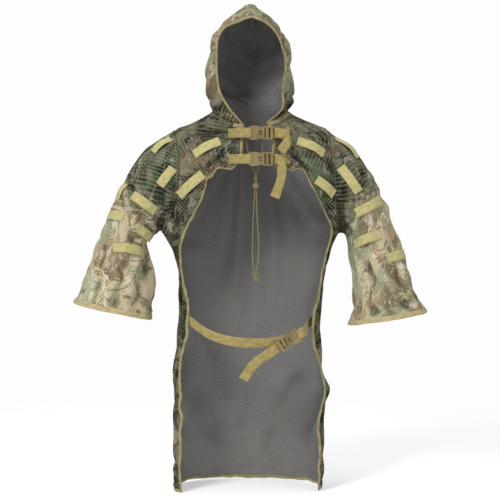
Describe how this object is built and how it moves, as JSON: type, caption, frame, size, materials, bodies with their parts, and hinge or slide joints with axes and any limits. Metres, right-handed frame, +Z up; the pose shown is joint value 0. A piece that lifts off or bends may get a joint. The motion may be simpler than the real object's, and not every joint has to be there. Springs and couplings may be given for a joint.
{
  "type": "ghillie suit jacket",
  "caption": "Hooded mesh camouflage cape-coat with bell sleeves, foliage loops, an open front closed by side-release buckles, a waist belt and a long back tail.",
  "frame": {"origin": "centre of the footprint, at the level of the tail hem", "axes": "+Z up, the open front faces -Y, +X is the wearer's left"},
  "size_m": [0.9248, 0.294, 1.2661],
  "materials": {
    "camo_mesh_body": null,
    "camo_mesh_sleeve": null,
    "khaki_tape": "matte woven binding tape",
    "khaki_webbing": "matte woven webbing",
    "strap_webbing": "matte woven webbing with a slight sheen",
    "buckle_plastic": "fine grained moulded acetal",
    "cord": "braided cord",
    "spring_steel": "drawn wire"
  },
  "bodies": {
    "garment": {"front_panel_left": "camo_mesh_body", "front_panel_right": "camo_mesh_body", "back_panel": "camo_mesh_body", "front_edge_binding_left": "khaki_tape", "front_edge_binding_right": "khaki_tape", "foliage_loop_chest_upper_right": "khaki_webbing", "foliage_loop_chest_lower_right": "khaki_webbing", "foliage_loop_chest_upper_left": "khaki_webbing", "foliage_loop_chest_lower_left": "khaki_webbing", "back_loop_row_1": "khaki_webbing", "back_loop_row_2": "khaki_webbing", "back_loop_row_3": "khaki_webbing", "chest_upper_web_right": "strap_webbing", "chest_upper_web_left": "strap_webbing", "chest_lower_web_right": "strap_webbing", "chest_lower_web_left": "strap_webbing", "waist_strap_long": "strap_webbing", "waist_strap_short": "strap_webbing", "chest_buckle_upper_housing": "buckle_plastic", "chest_buckle_lower_housing": "buckle_plastic", "waist_buckle_housing": "buckle_plastic", "drawcord_neck": "cord"},
    "hood": {"hood_panel_left": "camo_mesh_body", "hood_panel_right": "camo_mesh_body", "hood_face_channel": "khaki_tape", "hood_loop_row": "khaki_webbing"},
    "sleeve_left": {"sleeve_left": "camo_mesh_sleeve", "cuff_binding_left": "khaki_tape", "foliage_loop_shoulder_left": "khaki_webbing", "foliage_loop_upper_arm_left": "khaki_webbing", "foliage_loop_elbow_left": "khaki_webbing", "foliage_loop_inner_arm_left": "khaki_webbing", "foliage_loop_forearm_left": "khaki_webbing"},
    "sleeve_right": {"sleeve_right": "camo_mesh_sleeve", "cuff_binding_right": "khaki_tape", "foliage_loop_shoulder_right": "khaki_webbing", "foliage_loop_upper_arm_right": "khaki_webbing", "foliage_loop_outer_arm_right": "khaki_webbing", "foliage_loop_outer_elbow_right": "khaki_webbing", "foliage_loop_elbow_right": "khaki_webbing", "foliage_loop_inner_arm_right": "khaki_webbing", "foliage_loop_forearm_right": "khaki_webbing"},
    "tail": {"tail_panel": "camo_mesh_body", "tail_binding": "khaki_tape"},
    "plug_upper": {"chest_buckle_upper_plug": "buckle_plastic", "chest_upper_strap_tail": "strap_webbing"},
    "plug_lower": {"chest_buckle_lower_plug": "buckle_plastic", "chest_lower_strap_tail": "strap_webbing"},
    "plug_waist": {"waist_buckle_plug": "buckle_plastic", "waist_strap_tail": "strap_webbing"},
    "cord": {"drawcord_tassel": "cord"},
    "lock": {"cord_lock_body": "buckle_plastic", "cord_lock_spring": "spring_steel"},
    "lock_button": {"cord_lock_button": "buckle_plastic"},
    "arm_upper_upper": {"chest_buckle_upper_arm_upper": "buckle_plastic"},
    "arm_upper_lower": {"chest_buckle_upper_arm_lower": "buckle_plastic"},
    "arm_lower_upper": {"chest_buckle_lower_arm_upper": "buckle_plastic"},
    "arm_lower_lower": {"chest_buckle_lower_arm_lower": "buckle_plastic"},
    "arm_waist_upper": {"waist_buckle_arm_upper": "buckle_plastic"},
    "arm_waist_lower": {"waist_buckle_arm_lower": "buckle_plastic"}
  },
  "joints": [
    {"name": "hood_fold", "type": "hinge", "parent": "garment", "child": "hood", "pos_m": [0.00051, 0.08672, 1.00541], "axis": [-1, 0, 0], "range_deg": [0, 60]},
    {"name": "sleeve_swing_left", "type": "hinge", "parent": "garment", "child": "sleeve_left", "pos_m": [0.20301, -0.00528, 0.95291], "axis": [0, -1, 0], "range_deg": [0, 35]},
    {"name": "sleeve_swing_right", "type": "hinge", "parent": "garment", "child": "sleeve_right", "pos_m": [-0.19869, -0.00528, 0.95291], "axis": [0, 1, 0], "range_deg": [0, 35]},
    {"name": "tail_lift", "type": "hinge", "parent": "garment", "child": "tail", "pos_m": [0.00051, 0.12872, 0.30991], "axis": [1, 0, 0], "range_deg": [0, 60]},
    {"name": "plug_slide_upper", "type": "slide", "parent": "garment", "child": "plug_upper", "axis": [1, 0, 0], "range_m": [0, 0.028]},
    {"name": "plug_slide_lower", "type": "slide", "parent": "garment", "child": "plug_lower", "axis": [1, 0, 0], "range_m": [0, 0.028]},
    {"name": "plug_slide_waist", "type": "slide", "parent": "garment", "child": "plug_waist", "axis": [-0.848, 0, -0.5299], "range_m": [0, 0.028]},
    {"name": "arm_press_upper_upper", "type": "hinge", "parent": "plug_upper", "child": "arm_upper_upper", "pos_m": [0.03241, -0.12128, 0.93541], "axis": [0, -1, 0], "range_deg": [0, 7], "stiffness_Nm_per_rad": 0.6},
    {"name": "arm_press_upper_lower", "type": "hinge", "parent": "plug_upper", "child": "arm_upper_lower", "pos_m": [0.03241, -0.12128, 0.91341], "axis": [0, 1, 0], "range_deg": [0, 7], "stiffness_Nm_per_rad": 0.6},
    {"name": "arm_press_lower_upper", "type": "hinge", "parent": "plug_lower", "child": "arm_lower_upper", "pos_m": [0.03241, -0.13028, 0.86841], "axis": [0, -1, 0], "range_deg": [0, 7], "stiffness_Nm_per_rad": 0.6},
    {"name": "arm_press_lower_lower", "type": "hinge", "parent": "plug_lower", "child": "arm_lower_lower", "pos_m": [0.03241, -0.13028, 0.84641], "axis": [0, 1, 0], "range_deg": [0, 7], "stiffness_Nm_per_rad": 0.6},
    {"name": "arm_press_waist_upper", "type": "hinge", "parent": "plug_waist", "child": "arm_waist_upper", "pos_m": [0.10342, -0.13828, 0.38675], "axis": [0, -1, 0], "range_deg": [0, 7], "stiffness_Nm_per_rad": 0.6},
    {"name": "arm_press_waist_lower", "type": "hinge", "parent": "plug_waist", "child": "arm_waist_lower", "pos_m": [0.09176, -0.13828, 0.40541], "axis": [0, 1, 0], "range_deg": [0, 7], "stiffness_Nm_per_rad": 0.6},
    {"name": "cord_swing", "type": "hinge", "parent": "garment", "child": "cord", "pos_m": [0.01482, -0.10328, 0.81841], "axis": [0, 1, 0], "range_deg": [-20, 20]},
    {"name": "cord_lock_slide", "type": "slide", "parent": "cord", "child": "lock", "axis": [0, 0, 1], "range_m": [-0.19, 0.012]},
    {"name": "lock_button_press", "type": "slide", "parent": "lock", "child": "lock_button", "axis": [0, 1, 0], "range_m": [0, 0.0025], "stiffness_N_per_m": 800, "deforming": ["cord_lock_spring"]}
  ],
  "couplings": [
    {"joint": "arm_press_upper_lower", "follows": "arm_press_upper_upper", "ratio": 1},
    {"joint": "arm_press_lower_lower", "follows": "arm_press_lower_upper", "ratio": 1},
    {"joint": "arm_press_waist_lower", "follows": "arm_press_waist_upper", "ratio": 1}
  ]
}
